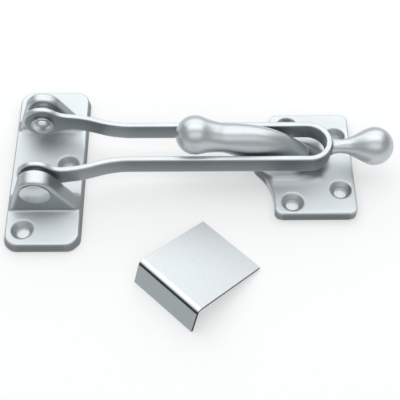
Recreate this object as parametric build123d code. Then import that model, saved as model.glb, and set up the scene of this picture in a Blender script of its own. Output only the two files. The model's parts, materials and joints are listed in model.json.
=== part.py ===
from build123d import *
import math
import os

# Door guard: a bracket for the door jamb with a hinged U-shaped bar, a keeper with a ball
# on a horn for the door, and a bent sheet that protects the door's edge. All sizes are in
# millimetres. The origin is the centre of the bracket's back face. X runs from the bracket
# to the keeper, Y along the hinge pins and Z out from the wall.

# Screw holes for countersunk No. 8 wood screws, in both castings
SCREW_HOLE_R = 2.35
SCREW_HEAD_R = 4.2
COUNTERSINK_ANGLE = 82.0

# Jamb bracket: plate
BRACKET_LENGTH = 74.2
BRACKET_WIDTH = 28.6
BRACKET_T = 4.0
BRACKET_DRAFT = 0.9
BRACKET_CORNER_R = 5.8
BRACKET_EDGE_R = 0.5
BRACKET_PAIR_X = -7.2
BRACKET_PAIR_SPACING = 59.0
BRACKET_SINGLE_X = 7.6

# Jamb bracket: the two lugs that carry the hinge pins. The near one is thicker: it fills the room that
# its shorter spacer leaves.
FAR_LUG_T = 4.2
LUG_TOP_R = 7.0
LUG_LEFT_MARGIN = 0.8
LUG_RIGHT_MARGIN = 0.6
LUG_OUTER_FILLET = 0.8
LUG_INNER_FILLET = 2.0
LUG_RIM_R = 1.0

# Hinge pins, with their spacers and washers
PIN_X = -1.85
PIN_ABOVE_PLATE = 10.4
PIN_R = 2.5
PIN_HEAD_R = 5.6
PIN_HEAD_RIM = 0.4
PIN_HEAD_RISE = 1.5
PIN_TAIL_R = 3.4
PIN_TAIL_RISE = 2.3
SPACER_R = 3.8
FAR_SPACER_LENGTH = 3.4
NEAR_SPACER_LENGTH = 1.2
WASHER_R = 4.2
WASHER_T = 1.2
RUNNING_CLEARANCE = 0.05

# Swing bar: a strip on edge bent into a U, with a round eye at each end and a finger knob
STRIP_T = 2.1
STRIP_HEIGHT = 7.3
SLOT_WIDTH = 13.8
EYE_R = 7.4
EYE_SPREAD = 23.0
EYE_TOP_BLEND = 8.0
EYE_BOTTOM_BLEND = 14.0
BEND_START = 5.5
BEND_LENGTH = 27.0
BAR_REACH = 107.2
KNOB_NECK_R = 2.65
KNOB_NECK_REACH = 4.8
KNOB_R = 7.2
KNOB_REACH = 16.0
KNOB_ROOT_R = 3.4
KNOB_WEB_R = 6.5

# Keeper: plate, horn and ball
KEEPER_SETBACK = 6.2
KEEPER_LENGTH = 47.4
KEEPER_WIDTH = 30.8
KEEPER_T = 4.4
KEEPER_CORNER_R = 2.8
KEEPER_EDGE_R = 0.6
TONGUE_REACH = 7.0
TONGUE_BLEND_R = 20.0
HORN_ROOT_R = 6.0
KEEPER_LEFT_PAIR_X = -8.6
KEEPER_LEFT_PAIR_SPACING = 36.4
KEEPER_RIGHT_PAIR_X = 9.8
KEEPER_RIGHT_PAIR_SPACING = 25.4
BALL_R = 7.4
BALL_BACK = 44.8
BALL_HEIGHT = 21.6
NECK_R = 5.7
NECK_LENGTH = 9.1
NECK_TILT = 9.5
HORN_SIDE_GAP = 0.7

# Horn of the keeper, from the neck to its spread root in the plate: for each oval section its
# highest and lowest points, as X past the plate's left edge and Z, and its width against the slot
HORN_SECTIONS = (
    ((-15.6, 25.2), (-18.0, 13.9), 0.92),
    ((-10.1, 24.9), (-14.4, 11.0), 0.96),
    ((-4.1, 23.8), (-11.2, 7.0), 0.99),
    ((1.9, 21.4), (-8.8, 3.8), 1.00),
    ((7.9, 17.3), (-6.6, 1.4), 1.02),
    ((13.7, 12.0), (-3.4, -0.8), 1.12),
    ((21.9, 3.6), (-1.0, -3.0), 1.30),
)

# Edge protector: one bent sheet, lying on its two free edges in front of the keeper's path
SHEET_T = 0.9
SHEET_TOP = 33.7
SHEET_FLANGE = 11.2
SHEET_WIDTH = 28.5
SHEET_BEND_R = 1.9
SHEET_X = 36.5
SHEET_GAP = 0.6
SHEET_YAW = 45.5

# Places that follow from the driving dimensions
PIN_Z = BRACKET_T + PIN_ABOVE_PLATE
EYE_INNER_Y = EYE_SPREAD / 2
EYE_OUTER_Y = EYE_INNER_Y + STRIP_T
SPACER_INNER_Y = EYE_OUTER_Y + RUNNING_CLEARANCE
FAR_LUG_INNER_Y = SPACER_INNER_Y + FAR_SPACER_LENGTH
NEAR_LUG_INNER_Y = SPACER_INNER_Y + NEAR_SPACER_LENGTH
LUG_OUTER_Y = FAR_LUG_INNER_Y + FAR_LUG_T
WASHER_OUTER_Y = EYE_INNER_Y - RUNNING_CLEARANCE
WASHER_INNER_Y = WASHER_OUTER_Y - WASHER_T
KEEPER_X = BAR_REACH - KEEPER_SETBACK
BEYOND = 1.0


def tangent_point(point, centre, radius, side):
    """Where the line from an outside point touches a circle; side is +1 for counterclockwise."""
    dx = point[0] - centre[0]
    dy = point[1] - centre[1]
    angle = math.atan2(dy, dx) + side * math.acos(radius / math.hypot(dx, dy))
    return centre[0] + radius * math.cos(angle), centre[1] + radius * math.sin(angle)


def on_circle(centre, radius, degrees):
    """The point of a circle at an angle."""
    angle = math.radians(degrees)
    return centre[0] + radius * math.cos(angle), centre[1] + radius * math.sin(angle)


def countersunk_hole(x, y, top):
    """The cutter for one screw hole whose countersink opens on the face at height top."""
    depth = (SCREW_HEAD_R - SCREW_HOLE_R) / math.tan(math.radians(COUNTERSINK_ANGLE / 2))
    up = (Align.CENTER, Align.CENTER, Align.MIN)
    bore = Pos(x, y, -BEYOND) * Cylinder(SCREW_HOLE_R, top + 2 * BEYOND, align=up)
    cone = Pos(x, y, top - depth) * Cone(SCREW_HOLE_R, SCREW_HEAD_R, depth, align=up)
    mouth = Pos(x, y, top) * Cylinder(SCREW_HEAD_R, BEYOND, align=up)
    return bore + cone + mouth


def turned_on_pin(profile):
    """A turned piece from its half profile, drawn as radius against Y, set on the hinge axis."""
    return Pos(PIN_X, 0, PIN_Z) * revolve(profile, Axis.Y)


def lug(inner_y):
    """A lug on the +Y side: its outline seen along Y, filleted into the plate on both faces."""
    half_top = BRACKET_WIDTH / 2 - BRACKET_DRAFT
    left = (-half_top + LUG_LEFT_MARGIN, BRACKET_T)
    right = (half_top - LUG_RIGHT_MARGIN, BRACKET_T)
    centre = (PIN_X, PIN_Z)
    left_touch = tangent_point(left, centre, LUG_TOP_R, -1)
    right_touch = tangent_point(right, centre, LUG_TOP_R, 1)
    floor = BRACKET_T - BEYOND
    outline = Polyline(left_touch, left, (left[0], floor), (right[0], floor), right, right_touch)
    outline += ThreePointArc(right_touch, on_circle(centre, LUG_TOP_R, 90), left_touch)
    slab = extrude(Plane.XZ * make_face(outline), BRACKET_LENGTH, both=True)

    top = PIN_Z + LUG_TOP_R + BEYOND
    outer_foot = LUG_OUTER_Y + LUG_OUTER_FILLET
    inner_foot = inner_y - LUG_INNER_FILLET
    section = Polyline(
        (outer_foot, BRACKET_T), (outer_foot, floor), (inner_foot, floor), (inner_foot, BRACKET_T)
    )
    inner_start = (inner_y, BRACKET_T + LUG_INNER_FILLET)
    outer_start = (LUG_OUTER_Y, BRACKET_T + LUG_OUTER_FILLET)
    section += RadiusArc((inner_foot, BRACKET_T), inner_start, -LUG_INNER_FILLET)
    section += Polyline(inner_start, (inner_y, top), (LUG_OUTER_Y, top), outer_start)
    section += RadiusArc(outer_start, (outer_foot, BRACKET_T), -LUG_OUTER_FILLET)
    wall = extrude(Plane.YZ * make_face(section), BRACKET_WIDTH, both=True)
    ear = slab & wall
    rim = ear.edges().filter_by(Plane.XZ).filter_by(lambda edge: edge.center().Z > inner_start[1])
    return fillet(rim, LUG_RIM_R)


def jamb_bracket():
    """Plate with leaning sides, two pierced lugs and three countersunk screw holes."""
    outline = RectangleRounded(BRACKET_WIDTH, BRACKET_LENGTH, BRACKET_CORNER_R)
    lean = math.degrees(math.atan2(BRACKET_DRAFT, BRACKET_T))
    plate = extrude(outline, BRACKET_T, taper=lean)
    plate = fillet(plate.faces().sort_by(Axis.Z)[-1].edges(), BRACKET_EDGE_R)
    bracket = plate + lug(FAR_LUG_INNER_Y) + mirror(lug(NEAR_LUG_INNER_Y), Plane.XZ)
    bracket -= Pos(PIN_X, 0, PIN_Z) * Rot(90, 0, 0) * Cylinder(PIN_R, BRACKET_LENGTH)
    for y in (-BRACKET_PAIR_SPACING / 2, BRACKET_PAIR_SPACING / 2):
        bracket -= countersunk_hole(BRACKET_PAIR_X, y, BRACKET_T)
    bracket -= countersunk_hole(BRACKET_SINGLE_X, 0, BRACKET_T)
    return bracket


def far_pin():
    """Rivet: low domed head on the lug's outer face, shank, and a domed tail inside the washer."""
    rim = LUG_OUTER_Y + PIN_HEAD_RIM
    crown = rim + PIN_HEAD_RISE
    sphere_r = (PIN_HEAD_R**2 + PIN_HEAD_RISE**2) / (2 * PIN_HEAD_RISE)
    half_angle = math.asin(PIN_HEAD_R / sphere_r) / 2
    shoulder = (sphere_r * math.sin(half_angle), crown - sphere_r * (1 - math.cos(half_angle)))
    tail = WASHER_INNER_Y - PIN_TAIL_RISE
    profile = Polyline(
        (0, tail),
        (0, crown),
    )
    profile += ThreePointArc((0, crown), shoulder, (PIN_HEAD_R, rim))
    profile += Polyline(
        (PIN_HEAD_R, rim),
        (PIN_HEAD_R, LUG_OUTER_Y),
        (PIN_R, LUG_OUTER_Y),
        (PIN_R, WASHER_INNER_Y),
        (PIN_TAIL_R, WASHER_INNER_Y),
    )
    profile += EllipticalCenterArc(
        (0, WASHER_INNER_Y), PIN_TAIL_R, PIN_TAIL_RISE, start_angle=270, arc_size=90
    )
    return turned_on_pin(make_face(profile))


def far_ring(inner_y, outer_y, radius):
    """A plain ring on the pin between two places along Y."""
    ring = Pos((PIN_R + radius) / 2, (inner_y + outer_y) / 2) * Rectangle(radius - PIN_R, outer_y - inner_y)
    return turned_on_pin(ring)


def bar_outline(offset):
    """One edge of the bent strip seen from above, offset outwards from the slot's edge."""
    eye_y = EYE_INNER_Y + offset
    slot_y = SLOT_WIDTH / 2 + offset
    step = EYE_INNER_Y - SLOT_WIDTH / 2
    bend_r = (BEND_LENGTH**2 + step**2) / (4 * step)
    swing = math.degrees(math.asin(BEND_LENGTH / 2 / bend_r))
    bend_end = BEND_START + BEND_LENGTH
    first = (BEND_START, EYE_INNER_Y - bend_r)
    second = (bend_end, SLOT_WIDTH / 2 + bend_r)
    turn = on_circle(first, bend_r + offset, 90 - swing)
    eye_end = (PIN_X - EYE_R - BEYOND, eye_y)
    arc_x = BAR_REACH - STRIP_T - SLOT_WIDTH / 2
    half = Polyline(eye_end, (BEND_START, eye_y))
    half += ThreePointArc((BEND_START, eye_y), on_circle(first, bend_r + offset, 90 - swing / 2), turn)
    half += ThreePointArc(turn, on_circle(second, bend_r - offset, 270 - swing / 2), (bend_end, slot_y))
    half += Line((bend_end, slot_y), (arc_x, slot_y))
    end = ThreePointArc((arc_x, slot_y), (arc_x + slot_y, 0), (arc_x, -slot_y))
    back = Line((eye_end[0], -eye_y), eye_end)
    return make_face(half + end + mirror(half, Plane.XZ) + back)


def knob():
    """The teardrop finger knob, turned about the bar's middle line, with a flared root."""
    root = BAR_REACH - STRIP_T / 2
    neck = BAR_REACH + KNOB_NECK_REACH
    middle = BAR_REACH + KNOB_REACH
    tip = middle + KNOB_R
    curve = Spline(
        (root, KNOB_ROOT_R),
        (neck, KNOB_NECK_R),
        (middle, KNOB_R),
        tangents=[(1, -0.25), (1, 0)],
        tangent_scalars=[1.0, 1.0],
    )
    cap = ThreePointArc((middle, KNOB_R), on_circle((middle, 0), KNOB_R, 45), (tip, 0))
    profile = make_face(curve + cap + Polyline((tip, 0), (root, 0), (root, KNOB_ROOT_R)))
    return Pos(0, 0, PIN_Z) * revolve(profile, Axis.X)


def knob_web():
    """Hollow-sided web that joins the closed end of the U to the knob's neck."""
    bend_r = SLOT_WIDTH / 2 + STRIP_T
    bend_x = BAR_REACH - bend_r
    half = KNOB_NECK_R * math.sqrt(0.5)
    hollow_y = half + KNOB_WEB_R
    hollow_x = bend_x + math.sqrt((bend_r + KNOB_WEB_R) ** 2 - hollow_y**2)
    start = math.degrees(math.atan2(hollow_y, hollow_x - bend_x))
    touch = on_circle((bend_x, 0), bend_r, start)
    middle = on_circle((hollow_x, hollow_y), KNOB_WEB_R, (180 + start + 270) / 2)
    side = Line((bend_x + bend_r - STRIP_T, 0), (touch[0] - STRIP_T / 2, touch[1]))
    side += Line((touch[0] - STRIP_T / 2, touch[1]), touch)
    side += ThreePointArc(touch, middle, (hollow_x, half))
    end = Line((hollow_x, half), (hollow_x, -half))
    plan = make_face(side + end + mirror(side, Plane.XZ))
    deep = STRIP_HEIGHT / 2
    taper = Polyline((bend_x, deep), (touch[0], deep))
    taper += RadiusArc((touch[0], deep), (hollow_x, half), -2 * KNOB_WEB_R)
    taper += Polyline((hollow_x, half), (hollow_x, 0), (bend_x, 0), (bend_x, deep))
    profile = make_face(taper) + mirror(make_face(taper), Plane.XZ)
    web = extrude(plan, STRIP_HEIGHT, both=True) & extrude(Plane.XZ * profile, bend_r, both=True)
    return Pos(0, 0, PIN_Z) * web


def swing_bar():
    """Bent strip trimmed to its side view, with the finger knob on its closed end."""
    band = extrude(bar_outline(STRIP_T) - bar_outline(0), PIN_Z * 3)
    strip_end = BAR_REACH + BEYOND
    strip = Pos((PIN_X + strip_end) / 2, PIN_Z) * Rectangle(strip_end - PIN_X, STRIP_HEIGHT)
    side = Pos(PIN_X, PIN_Z) * Circle(EYE_R) + strip
    inner = side.vertices().filter_by(lambda v: PIN_X < v.X < PIN_X + EYE_R).sort_by(Axis.Y)
    side = fillet(inner[-1], EYE_TOP_BLEND)
    inner = side.vertices().filter_by(lambda v: PIN_X < v.X < PIN_X + EYE_R).sort_by(Axis.Y)
    side = fillet(inner[0], EYE_BOTTOM_BLEND)
    bar = band & extrude(Plane.XZ * side, BRACKET_LENGTH, both=True)
    bar += knob_web()
    bar += knob()
    bore = Cylinder(PIN_R + RUNNING_CLEARANCE, BRACKET_LENGTH)
    return bar - Pos(PIN_X, 0, PIN_Z) * Rot(90, 0, 0) * bore


def horn_section(high, low, wide):
    """One oval section of the horn, from its highest and lowest points and its width."""
    rise = Vector(high[0] - low[0], 0, high[1] - low[1])
    middle = Vector((high[0] + low[0]) / 2, 0, (high[1] + low[1]) / 2)
    place = Plane(origin=middle, x_dir=(0, 1, 0), z_dir=Vector(0, 1, 0).cross(rise))
    return place * scale(Circle(0.5), (wide, rise.length, 1))


def horn_ball(ball_x):
    """The ball with a hollow-sided neck, turned about the tilted start of the horn."""
    blend_r = (NECK_LENGTH**2 + NECK_R**2 - BALL_R**2) / (2 * (BALL_R - NECK_R))
    blend = (NECK_LENGTH, NECK_R + blend_r)
    touch_angle = math.degrees(math.atan2(blend[1], blend[0]))
    touch = on_circle((0, 0), BALL_R, touch_angle)
    middle = on_circle(blend, blend_r, (180 + touch_angle + 270) / 2)
    profile = ThreePointArc((-BALL_R, 0), on_circle((0, 0), BALL_R, (180 + touch_angle) / 2), touch)
    profile += ThreePointArc(touch, middle, (NECK_LENGTH, NECK_R))
    profile += Polyline((NECK_LENGTH, NECK_R), (NECK_LENGTH, 0), (-BALL_R, 0))
    return Pos(ball_x, 0, BALL_HEIGHT) * Rot(0, NECK_TILT, 0) * revolve(make_face(profile), Axis.X)


def keeper():
    """Plate with four countersunk holes and a horn that runs out of it and leans over to the ball."""
    up = (Align.CENTER, Align.CENTER, Align.MIN)
    left = KEEPER_X - KEEPER_WIDTH / 2
    ball_x = KEEPER_X - BALL_BACK
    slot_fit = SLOT_WIDTH - 2 * HORN_SIDE_GAP
    outline = Pos(KEEPER_X, 0) * RectangleRounded(KEEPER_WIDTH, KEEPER_LENGTH, KEEPER_CORNER_R)
    outline += Pos(left, 0) * Ellipse(TONGUE_REACH, slot_fit / 2)
    inner = outline.vertices().filter_by(lambda v: abs(v.Y) < slot_fit)
    outline = fillet(inner, TONGUE_BLEND_R)
    plate = extrude(outline, KEEPER_T)
    plate = fillet(plate.faces().sort_by(Axis.Z)[-1].edges(), KEEPER_EDGE_R)
    axis = math.radians(NECK_TILT)
    inside = NECK_LENGTH / 2
    start = Plane(
        origin=(ball_x + inside * math.cos(axis), 0, BALL_HEIGHT - inside * math.sin(axis)),
        x_dir=(0, 1, 0),
        z_dir=(math.cos(axis), 0, -math.sin(axis)),
    )
    sections = [start * Circle(NECK_R)]
    for high, low, share in HORN_SECTIONS:
        sections.append(horn_section((left + high[0], high[1]), (left + low[0], low[1]), share * slot_fit))
    body = horn_ball(ball_x) + loft(sections) + plate
    root = body.edges().filter_by(GeomType.BSPLINE)
    root = root.filter_by_position(Axis.Z, KEEPER_T - KEEPER_EDGE_R / 10, KEEPER_T + KEEPER_EDGE_R / 10)
    body = fillet(root, HORN_ROOT_R)
    body -= Box(4 * KEEPER_WIDTH, 2 * KEEPER_LENGTH, KEEPER_T, align=up).moved(Pos(KEEPER_X, 0, -KEEPER_T))
    pairs = (
        (KEEPER_LEFT_PAIR_X, KEEPER_LEFT_PAIR_SPACING),
        (KEEPER_RIGHT_PAIR_X, KEEPER_RIGHT_PAIR_SPACING),
    )
    for x, spacing in pairs:
        for y in (-spacing / 2, spacing / 2):
            body -= countersunk_hole(KEEPER_X + x, y, KEEPER_T)
    return body


def edge_protector():
    """Sheet bent to a right angle, resting on the flange's edge and on the far edge of its top."""
    inner_r = SHEET_BEND_R - SHEET_T
    section = Polyline(
        (SHEET_T, -SHEET_BEND_R), (SHEET_T, -SHEET_FLANGE), (0, -SHEET_FLANGE), (0, -SHEET_BEND_R)
    )
    section += RadiusArc((0, -SHEET_BEND_R), (SHEET_BEND_R, 0), SHEET_BEND_R)
    section += Polyline((SHEET_BEND_R, 0), (SHEET_TOP, 0), (SHEET_TOP, -SHEET_T), (SHEET_BEND_R, -SHEET_T))
    section += RadiusArc((SHEET_BEND_R, -SHEET_T), (SHEET_T, -SHEET_BEND_R), -inner_r)
    sheet = extrude(Plane.XZ * make_face(section), SHEET_WIDTH)
    slope = math.atan2(SHEET_FLANGE - SHEET_T, SHEET_TOP - SHEET_T)
    lift = SHEET_TOP * math.sin(slope) + SHEET_T * math.cos(slope)
    far_corner = SHEET_TOP * math.cos(slope) * math.sin(math.radians(SHEET_YAW))
    bend_y = -KEEPER_LENGTH / 2 - SHEET_GAP - far_corner
    return Pos(SHEET_X, bend_y, lift) * Rot(0, 0, SHEET_YAW) * Rot(0, math.degrees(slope), 0) * sheet


def main():
    """Write one file for each piece."""
    os.makedirs("parts", exist_ok=True)
    pin = far_pin()
    far_spacer = far_ring(SPACER_INNER_Y, FAR_LUG_INNER_Y, SPACER_R)
    near_spacer = mirror(far_ring(SPACER_INNER_Y, NEAR_LUG_INNER_Y, SPACER_R), Plane.XZ)
    washer = far_ring(WASHER_INNER_Y, WASHER_OUTER_Y, WASHER_R)
    pieces = {
        "jamb_bracket": jamb_bracket(),
        "swing_bar": swing_bar(),
        "pivot_pin_far": pin,
        "pivot_pin_near": mirror(pin, Plane.XZ),
        "pivot_spacer_far": far_spacer,
        "pivot_spacer_near": near_spacer,
        "pivot_washer_far": washer,
        "pivot_washer_near": mirror(washer, Plane.XZ),
        "keeper": keeper(),
        "edge_protector": edge_protector(),
    }
    for name, shape in pieces.items():
        export_step(shape, f"parts/{name}.step")


main()
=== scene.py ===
import json
import math

import bmesh
import bpy
import numpy as np
from bpy.props import FloatProperty, FloatVectorProperty, IntProperty, PointerProperty
from mathutils import Matrix, Vector


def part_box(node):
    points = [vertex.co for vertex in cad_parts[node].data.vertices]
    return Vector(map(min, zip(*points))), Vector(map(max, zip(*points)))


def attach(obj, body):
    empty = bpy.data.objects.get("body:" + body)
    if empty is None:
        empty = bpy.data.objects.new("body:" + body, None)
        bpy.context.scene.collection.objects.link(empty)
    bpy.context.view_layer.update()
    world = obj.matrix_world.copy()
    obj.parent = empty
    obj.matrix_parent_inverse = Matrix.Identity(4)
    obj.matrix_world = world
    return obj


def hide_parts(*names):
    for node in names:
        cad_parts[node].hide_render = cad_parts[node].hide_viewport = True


bl_info = {
    "name": "Door guard",
    "version": (1, 0, 0),
    "blender": (4, 5, 0),
    "location": "View3D > Sidebar > Door guard",
    "description": "Dresses a packed door guard: bracket, hinge pins, swing bar, keeper and edge protector",
    "category": "Object",
}

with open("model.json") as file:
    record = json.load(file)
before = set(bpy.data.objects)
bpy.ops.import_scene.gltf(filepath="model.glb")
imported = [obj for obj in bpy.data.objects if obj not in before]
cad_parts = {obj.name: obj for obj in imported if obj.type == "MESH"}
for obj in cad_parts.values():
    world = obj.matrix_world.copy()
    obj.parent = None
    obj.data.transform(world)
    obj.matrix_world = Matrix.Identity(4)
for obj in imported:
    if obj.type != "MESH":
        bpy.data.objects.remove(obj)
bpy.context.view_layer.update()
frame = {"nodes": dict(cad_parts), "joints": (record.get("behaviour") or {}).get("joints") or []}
MM = 0.001

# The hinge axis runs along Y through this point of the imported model
HINGE = Vector(next(joint for joint in frame["joints"] if joint["name"] == "bar_swing")["pos_m"])

# Points closer than this are joined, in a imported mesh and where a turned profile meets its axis
PACKED_WELD = 1e-4 * MM
TURNED_WELD = 1e-3 * MM

# Straight steps of the arcs in the turned profiles, along the bar and round its bores
DOME_STEPS, CORNER_STEPS = 16, 4
BEND_STEPS, BLEND_STEPS, EYE_STEPS, BORE_STEPS = 24, 12, 72, 64

# Steps of the knob's mesh round its axis, along its root, along its swell and over its end
KNOB_TURNS, ROOT_STEPS, SWELL_STEPS, END_STEPS = 64, 18, 28, 20
# The knob's end is closed by a flat face at this angle of its arc, in degrees
END_ARC = 88
# The knob's root has the outline of a rounded oblong: the power of its sine and cosine, its share of the
# strip's height and the share of the strip's thickness by which it sinks into the U
OBLONG, ROOT_RISE, ROOT_SINK = 0.62, 0.96, 1 / 3
# How strongly the root's lines leave the U and run into the neck, against their length
ROOT_PULL, NECK_PULL = 0.9, 1.1

# What tells the sheet's faces apart is how far each one looks up, along the sheet from the flange, and to a
# cut end: outer faces look up, and along the sheet follow the flange, a line of painted shade, the bend and
# the top
OUTER_UP = 0.25
FLANGE_ALONG, BEND_FROM, BEND_FULL, TOP_ALONG = -0.94, -0.6, -0.4, 0.28
CUT_END = 0.7

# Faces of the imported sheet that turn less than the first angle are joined, and its edges that turn more than
# the second are rounded, in this many steps
FLAT_TURN, CUT_TURN, CUT_STEPS = math.radians(0.5), math.radians(50), 3
# Edges of the sheet and of the turned pieces look sharp where they turn more than this
SHEET_SHARP, TURNED_SHARP = math.radians(35), math.radians(40)

# The painted shade is taken off the slot's inside from the first distance before the U's turn, and fully from
# the second; on an eye's outer face it comes back at its rim over the third
SHADE_OFF_FROM, SHADE_OFF_FULL, EYE_FADE = 20 * MM, 5 * MM, 2 * MM
# Where the keeper's strip of painted shade starts and where it is full: at its near and far sides, at its end,
# and along the root of the horn, which takes the painted shade up to a height
STRIP_NEAR, STRIP_FAR, STRIP_END = (-9 * MM, -7 * MM), (15 * MM, 9 * MM), (107 * MM, 104 * MM)
STRIP_ROOT, ROOT_HEIGHT = (92 * MM, 96 * MM), 12 * MM

# Roughness of each metal at the low and the high end of its pattern
CASTING_ROUGH, TURNED_ROUGH, SHEET_ROUGH = (0.42, 0.36), (0.36, 0.3), (0.8, 0.74)
# Roughness that linishing adds to a casting, and that rubbing adds to its edges and to the sheet's bend
LINISH_ROUGH, EDGE_ROUGH, BEND_ROUGH = 0.23, -0.08, -0.35
# Depths of the orange peel, the tool rings and the rolling marks
PEEL_DEPTH, RING_DEPTH, MARK_DEPTH = 0.02 * MM, 0.004 * MM, 0.001 * MM
# Depth of the polishing grit against the orange peel's, and how far the tool rings stray from true circles
GRIT_SHARE, RING_WAVER = 0.12, 0.6
# Most values of a noise texture, and all of a wave texture, lie between these
NOISE_SPREAD, WAVE_SPREAD = (0.3, 0.7), (0, 1)
# A wave texture has this many radians to the unit
WAVE_RADIANS = 20

# The point that the camera looks at and the lamps stand round
AIM = Vector((57.9, -14.2, 0)) * MM
# The lamps stand in an arch from behind the object over its top to the camera's side: for each its name, its
# elevation in degrees, its width and depth in metres and the brightness of its face
LAMPS = (
    ("softbox_behind", 36, (1.8, 0.6), 1.35),
    ("softbox_above", 75, (1.6, 0.7), 1.5),
    ("softbox_front", 128, (1.5, 0.6), 0.85),
)
# Nearest and farthest distances that the camera sees, in metres
CLIP = 0.01, 50


def linear(hex_colour):
    """An sRGB hex colour as linear red, green and blue."""
    parts = [int(hex_colour[i : i + 2], 16) / 255 for i in (1, 3, 5)]
    return tuple(c / 12.92 if c <= 0.04045 else ((c + 0.055) / 1.055) ** 2.4 for c in parts)


def length(name, description, millimetres):
    """A property that holds a length, given in millimetres."""
    return FloatProperty(
        name=name, description=description, default=millimetres * MM, min=0, unit="LENGTH", precision=5
    )


def angle(name, description, degrees):
    """A property that holds an angle, given in degrees."""
    return FloatProperty(name=name, description=description, default=math.radians(degrees), subtype="ANGLE")


def colour(name, description, hex_colour):
    """A property that holds a colour, given in sRGB hex."""
    return FloatVectorProperty(
        name=name, description=description, subtype="COLOR", default=linear(hex_colour), min=0, max=1
    )


def share(name, description, part):
    """A property that holds a share from 0 to 1."""
    return FloatProperty(name=name, description=description, default=part, min=0, max=1, subtype="FACTOR")


def count(name, description, number):
    """A property that holds a whole number."""
    return IntProperty(name=name, description=description, default=number, min=1)


class CastingSettings(bpy.types.PropertyGroup):
    grain: length("Mesh size", "Edge length of the small squares that skin a casting", 0.3)
    edge_rounds: count("Edge rounds", "Smoothing rounds that soften all edges", 5)
    hollow_reach: length("Hollow reach", "How far the smoothing of a hollow corner runs out", 3.0)
    hollow_rounds: count("Hollow rounds", "Smoothing rounds of the hollow corners", 60)
    seat: length("Seat", "Height above the door that smoothing leaves flat", 0.8)
    plate: length("Plate", "Height of the plates' tops above the door", 4.4)
    polish_from: length("Polish from", "Height above the keeper's plate where the horn's polish starts", 2.0)
    polish_full: length("Polish full", "Height above the keeper's plate where the polish is full", 5.0)
    polish_rounds: count("Polish rounds", "Smoothing rounds that polish the horn and the ball", 60)
    # Below this height level tops are linished and painted paler, as painted light
    linish_light_height: length("Linish height", "Height below which the plates' level faces are linished", 6.0)
    # The next three set painted shade: on the lugs' sides, on the plates' rims and keeper's strip, and the
    # rims' width
    lug_side_painted_shade: share("Side dullness", "How dull the sides of the lugs are left", 0.48)
    rim_and_strip_painted_shade: share("Rim dullness", "How dull the plates' rims and the keeper's strip are left", 0.82)
    rim_band: length("Rim band", "Width of the dull rims along the outlines of the plates", 2.5)


class PivotSizes(bpy.types.PropertyGroup):
    pin: length("Pin radius", "Radius of the rivet's shank", 2.5)
    head_rim: length("Head rim", "Height of the straight rim of the rivet's head", 0.4)
    head_rise: length("Head rise", "Height of the dome on the rivet's head", 1.5)
    tail: length("Tail radius", "Radius of the rivet's tail inside the washer", 3.4)
    tail_rise: length("Tail rise", "Height of the tail's dome", 2.3)
    corner: length("Corner", "Rounding of the turned corners", 0.25)
    segments: count("Segments", "Faces round a turned piece", 96)


class BarSizes(bpy.types.PropertyGroup):
    grain: length("Mesh size", "Edge length of the small squares that skin the bar", 0.28)
    edge_rounds: count("Edge rounds", "Smoothing rounds that soften all edges", 6)
    hollow_reach: length("Hollow reach", "How far the smoothing of a hollow corner runs out", 2.0)
    hollow_rounds: count("Hollow rounds", "Smoothing rounds of the hollow corners", 30)
    thickness: length("Thickness", "Thickness of the bent strip", 2.1)
    height: length("Height", "Height of the strip on edge", 7.3)
    slot: length("Slot", "Clear width between the two arms", 13.8)
    eye_spread: length("Eye spread", "Clear width between the two eyes", 23.0)
    eye: length("Eye radius", "Radius of the round eyes", 7.4)
    bore: length("Bore", "Radius of the eyes' bores", 2.55)
    top_blend: length("Top blend", "Hollow radius where the eye meets the arm above", 8.0)
    bottom_blend: length("Bottom blend", "Hollow radius where the eye meets the arm below", 14.0)
    bend_start: length("Bend start", "Distance from the origin to the start of the double bend", 5.5)
    bend_length: length("Bend length", "Length of the double bend along the bar", 27.0)
    reach: length("Reach", "Distance from the origin to the closed end of the U", 107.2)
    knob: length("Knob radius", "Radius of the finger knob", 7.2)
    knob_reach: length("Knob reach", "Distance from the U's end to the middle of the knob", 16.0)
    neck: length("Neck radius", "Radius of the knob's neck", 2.75)
    neck_reach: length("Neck reach", "Distance from the U's end to the neck", 4.8)
    neck_slope: angle("Neck slope", "How steeply the neck already swells towards the knob", 8.5)
    root_half: length("Root half width", "How far the knob's root runs out round the U's end, each way", 5.6)
    # The next three set the painted shade on the strip's sides: along its lower edge, its upper edge, and at
    # the eyes
    painted_shade_low: share("Dull low", "How dull the strip's sides are left along their lower edge", 0.6)
    painted_shade_high: share("Dull high", "How dull the strip's sides are left along their upper edge", 0.9)
    painted_shade_hinge: share("Dull hinge", "Share of that dullness that is left at the eyes", 0.6)


class SheetSizes(bpy.types.PropertyGroup):
    edge: length("Edge", "Rounding of the cut edges", 0.18)
    roll_angle: angle("Rolling direction", "Direction of the rolling marks, from the X axis", 45.5)


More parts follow.
